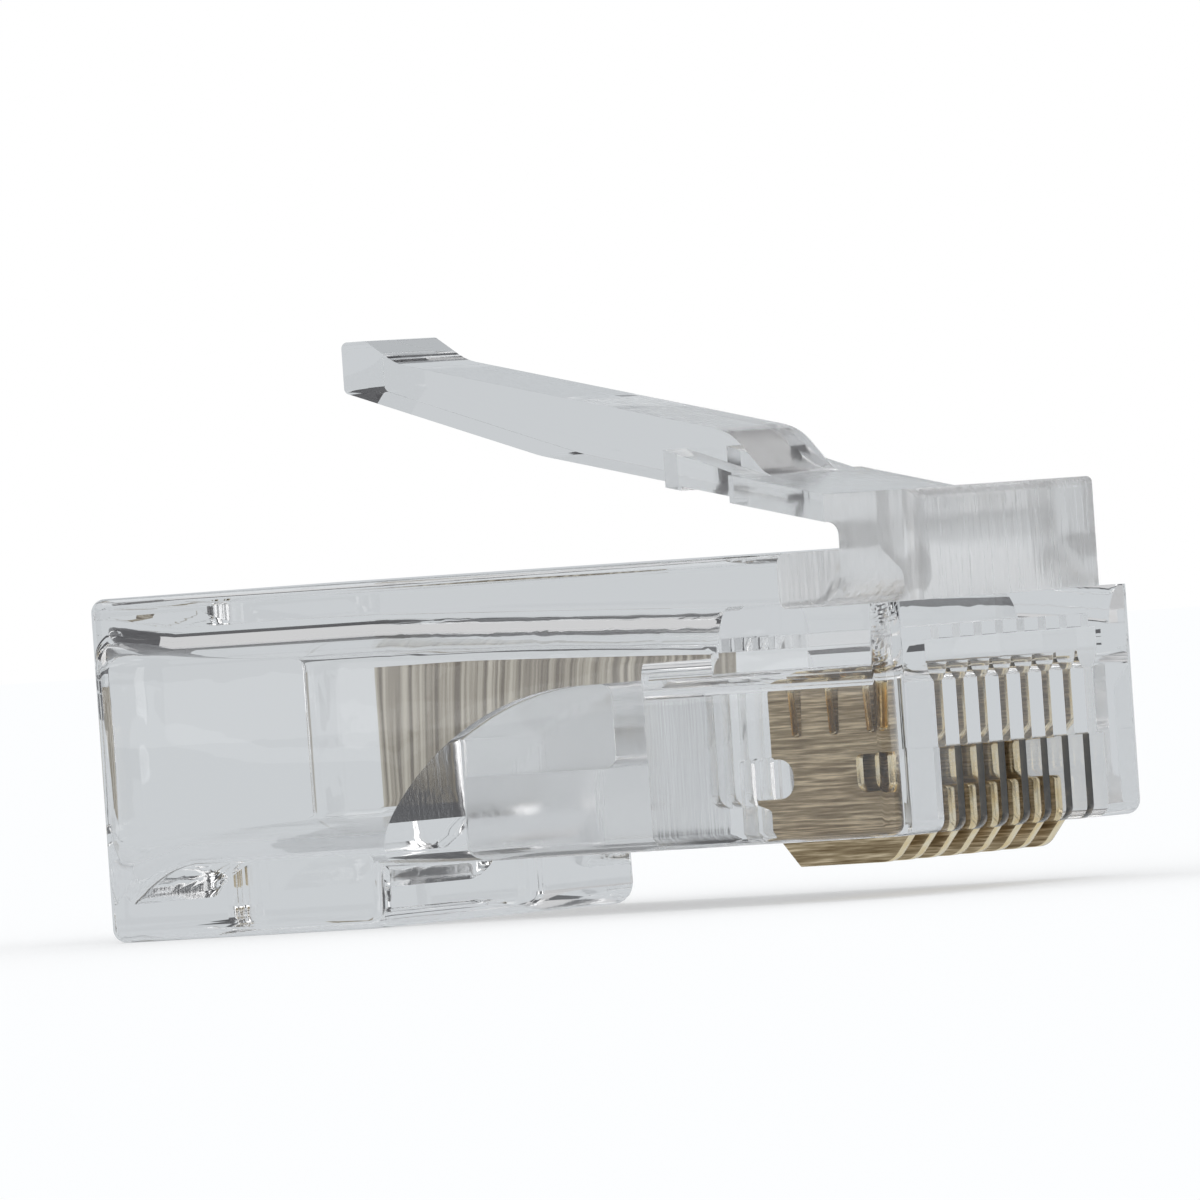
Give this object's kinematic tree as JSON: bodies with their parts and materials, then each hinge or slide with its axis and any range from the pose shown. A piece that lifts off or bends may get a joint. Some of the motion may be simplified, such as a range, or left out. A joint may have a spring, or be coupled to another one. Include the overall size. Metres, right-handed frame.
{
  "type": "modular plug",
  "caption": "Clear moulded modular plug for a round cable, with a sprung latch, a crimp-down cable bar and gold-plated contact blades in a slotted nose.",
  "frame": {"origin": "under the middle of the plug, at the level of the rear section's underside", "axes": "+X along the plug to its nose, +Y across its width, +Z to the latch; the contacts face down"},
  "size_m": [0.0214, 0.0116, 0.0136],
  "materials": {
    "clear_plastic": "clear, polished",
    "gold_plate": "gold plate over bronze, brushed sides"
  },
  "bodies": {
    "shell": {"housing": "clear_plastic"},
    "latch_arm": {"latch": "clear_plastic"},
    "clamp_bar": {"strain_relief_bar": "clear_plastic"},
    "blade_1": {"contact_1": "gold_plate"},
    "blade_2": {"contact_2": "gold_plate"},
    "blade_3": {"contact_3": "gold_plate"},
    "blade_4": {"contact_4": "gold_plate"},
    "blade_5": {"contact_5": "gold_plate"},
    "blade_6": {"contact_6": "gold_plate"},
    "blade_7": {"contact_7": "gold_plate"},
    "blade_8": {"contact_8": "gold_plate"}
  },
  "joints": [
    {"name": "latch_flex", "type": "hinge", "parent": "shell", "child": "latch_arm", "pos_m": [0.00768, 0, 0.00864], "axis": [0, -1, 0], "range_deg": [0, 15], "stiffness_Nm_per_rad": 0.3},
    {"name": "bar_flex", "type": "hinge", "parent": "shell", "child": "clamp_bar", "pos_m": [-0.00167, 0, 0.00421], "axis": [0, -1, 0], "range_deg": [0, 20]},
    {"name": "crimp_1", "type": "slide", "parent": "shell", "child": "blade_1", "axis": [0, 0, 1], "range_m": [0, 0.0011]},
    {"name": "crimp_2", "type": "slide", "parent": "shell", "child": "blade_2", "axis": [0, 0, 1], "range_m": [0, 0.0011]},
    {"name": "crimp_3", "type": "slide", "parent": "shell", "child": "blade_3", "axis": [0, 0, 1], "range_m": [0, 0.0011]},
    {"name": "crimp_4", "type": "slide", "parent": "shell", "child": "blade_4", "axis": [0, 0, 1], "range_m": [0, 0.0011]},
    {"name": "crimp_5", "type": "slide", "parent": "shell", "child": "blade_5", "axis": [0, 0, 1], "range_m": [0, 0.0011]},
    {"name": "crimp_6", "type": "slide", "parent": "shell", "child": "blade_6", "axis": [0, 0, 1], "range_m": [0, 0.0011]},
    {"name": "crimp_7", "type": "slide", "parent": "shell", "child": "blade_7", "axis": [0, 0, 1], "range_m": [0, 0.0011]},
    {"name": "crimp_8", "type": "slide", "parent": "shell", "child": "blade_8", "axis": [0, 0, 1], "range_m": [0, 0.0011]}
  ]
}
